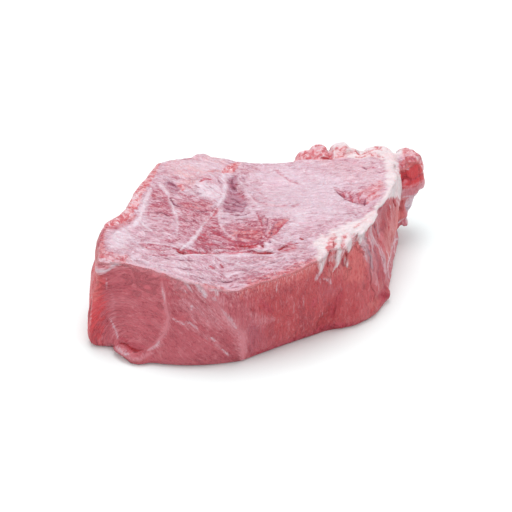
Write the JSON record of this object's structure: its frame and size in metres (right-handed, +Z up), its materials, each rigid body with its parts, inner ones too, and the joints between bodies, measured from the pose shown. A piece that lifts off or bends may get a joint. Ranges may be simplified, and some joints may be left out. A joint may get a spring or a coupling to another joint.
{
  "type": "raw pork cut",
  "caption": "Thick boneless slab of raw pork with a flat cut upper face, fat seams, a fat-edged right side and trimmed flaps at the back.",
  "frame": {"origin": "centre of the bounding box's underside, where the meat rests", "axes": "+Z up out of the cut upper face, +X along the slab towards the end with the hanging lobe, +Y towards the side away from the viewer"},
  "size_m": [0.1934, 0.1498, 0.0589],
  "materials": {
    "raw_pork": "moist raw meat: pale pink cut face above, redder muscle on the sides, whitish fat seams"
  },
  "bodies": {
    "root": {"pork_slab": "raw_pork"}
  },
  "joints": []
}
